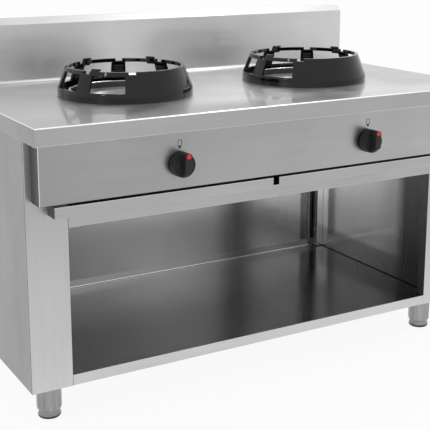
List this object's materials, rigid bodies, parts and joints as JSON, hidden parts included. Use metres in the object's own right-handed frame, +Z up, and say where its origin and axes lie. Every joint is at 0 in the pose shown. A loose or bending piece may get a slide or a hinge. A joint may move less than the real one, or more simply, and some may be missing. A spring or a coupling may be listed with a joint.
{
  "type": "wok range",
  "caption": "Freestanding gas wok range on an open stainless cabinet, with raised pan rings, control knobs, a drip tray, an upstand and levelling feet.",
  "frame": {"origin": "on the floor, at the middle of the bounding box's base", "axes": "+X to the range's right seen from the front, +Y to the back, +Z up"},
  "size_m": [1.5, 0.8, 1.055],
  "materials": {
    "worktop_steel": "satin, glossy",
    "sheet_steel": "fine brushed",
    "inner_steel": "satin",
    "galvanised": "dull, mill finish",
    "enamel_iron": "black gloss enamel",
    "burner_iron": "rough cast",
    "brass": "machined",
    "copper_pipe": "drawn",
    "pipe_steel": "dull",
    "knob_black": "satin",
    "spot_red": "gloss",
    "foot_steel": "polished, dark sole"
  },
  "bodies": {
    "frame": {"worktop": "worktop_steel", "splash_cover": "sheet_steel", "control_panel": "sheet_steel", "back_panel": "inner_steel", "shelf": "inner_steel", "front_rail": "sheet_steel", "manifold": "pipe_steel", "inlet_fitting": "brass", "manifold_clips": "galvanised", "panel_screws": "pipe_steel", "leg_bolts": "pipe_steel", "side_panel_left": "sheet_steel", "inner_wall_left": "inner_steel", "rear_post_left": "inner_steel", "base_channel_left": "galvanised", "tray_runner_left": "inner_steel", "burner_bowl_left": "inner_steel", "burner_left": "burner_iron", "burner_bracket_left": "galvanised", "pilot_burner_left": "brass", "pilot_pipe_left": "copper_pipe", "thermocouple_left": "copper_pipe", "tap_left": "brass", "feed_pipe_left": "copper_pipe", "injector_left": "brass", "side_panel_right": "sheet_steel", "inner_wall_right": "inner_steel", "rear_post_right": "inner_steel", "base_channel_right": "galvanised", "tray_runner_right": "inner_steel", "burner_bowl_right": "inner_steel", "burner_right": "burner_iron", "burner_bracket_right": "galvanised", "pilot_burner_right": "brass", "pilot_pipe_right": "copper_pipe", "thermocouple_right": "copper_pipe", "tap_right": "brass", "feed_pipe_right": "copper_pipe", "injector_right": "brass", "leg_front_left": "sheet_steel", "leg_front_right": "sheet_steel", "leg_rear_left": "sheet_steel", "leg_rear_right": "sheet_steel"},
    "drip_tray": {"drip_tray": "sheet_steel"},
    "tap_press_left": {"tap_washer_left": "brass"},
    "knob_left": {"knob_left": "knob_black", "knob_spot_left": "spot_red", "tap_stem_left": "brass"},
    "wok_ring_left": {"wok_ring_left": "enamel_iron"},
    "burner_head_left": {"burner_head_left": "burner_iron"},
    "tap_press_right": {"tap_washer_right": "brass"},
    "knob_right": {"knob_right": "knob_black", "knob_spot_right": "spot_red", "tap_stem_right": "brass"},
    "wok_ring_right": {"wok_ring_right": "enamel_iron"},
    "burner_head_right": {"burner_head_right": "burner_iron"},
    "foot_front_left": {"foot_front_left": "foot_steel"},
    "foot_front_right": {"foot_front_right": "foot_steel"},
    "foot_rear_left": {"foot_rear_left": "foot_steel"},
    "foot_rear_right": {"foot_rear_right": "foot_steel"}
  },
  "joints": [
    {"name": "tray_slide", "type": "slide", "parent": "frame", "child": "drip_tray", "axis": [0, -1, 0], "range_m": [0, 0.45]},
    {"name": "press_left", "type": "slide", "parent": "frame", "child": "tap_press_left", "axis": [0, 1, 0], "range_m": [0, 0.003], "stiffness_N_per_m": 1500, "springref_m": -0.002},
    {"name": "turn_left", "type": "hinge", "parent": "tap_press_left", "child": "knob_left", "pos_m": [-0.32, -0.346, 0.704], "axis": [0, -1, 0], "range_deg": [0, 210]},
    {"name": "ring_lift_left", "type": "slide", "parent": "frame", "child": "wok_ring_left", "axis": [0, 0, 1], "range_m": [0, 0.15]},
    {"name": "head_lift_left", "type": "slide", "parent": "frame", "child": "burner_head_left", "axis": [0, 0, 1], "range_m": [0, 0.06]},
    {"name": "press_right", "type": "slide", "parent": "frame", "child": "tap_press_right", "axis": [0, 1, 0], "range_m": [0, 0.003], "stiffness_N_per_m": 1500, "springref_m": -0.002},
    {"name": "turn_right", "type": "hinge", "parent": "tap_press_right", "child": "knob_right", "pos_m": [0.32, -0.346, 0.704], "axis": [0, -1, 0], "range_deg": [0, 210]},
    {"name": "ring_lift_right", "type": "slide", "parent": "frame", "child": "wok_ring_right", "axis": [0, 0, 1], "range_m": [0, 0.15]},
    {"name": "head_lift_right", "type": "slide", "parent": "frame", "child": "burner_head_right", "axis": [0, 0, 1], "range_m": [0, 0.06]},
    {"name": "level_front_left", "type": "slide", "parent": "frame", "child": "foot_front_left", "axis": [0, 0, -1], "range_m": [-0.004, 0.03]},
    {"name": "level_front_right", "type": "slide", "parent": "frame", "child": "foot_front_right", "axis": [0, 0, -1], "range_m": [-0.004, 0.03]},
    {"name": "level_rear_left", "type": "slide", "parent": "frame", "child": "foot_rear_left", "axis": [0, 0, -1], "range_m": [-0.004, 0.03]},
    {"name": "level_rear_right", "type": "slide", "parent": "frame", "child": "foot_rear_right", "axis": [0, 0, -1], "range_m": [-0.004, 0.03]}
  ]
}
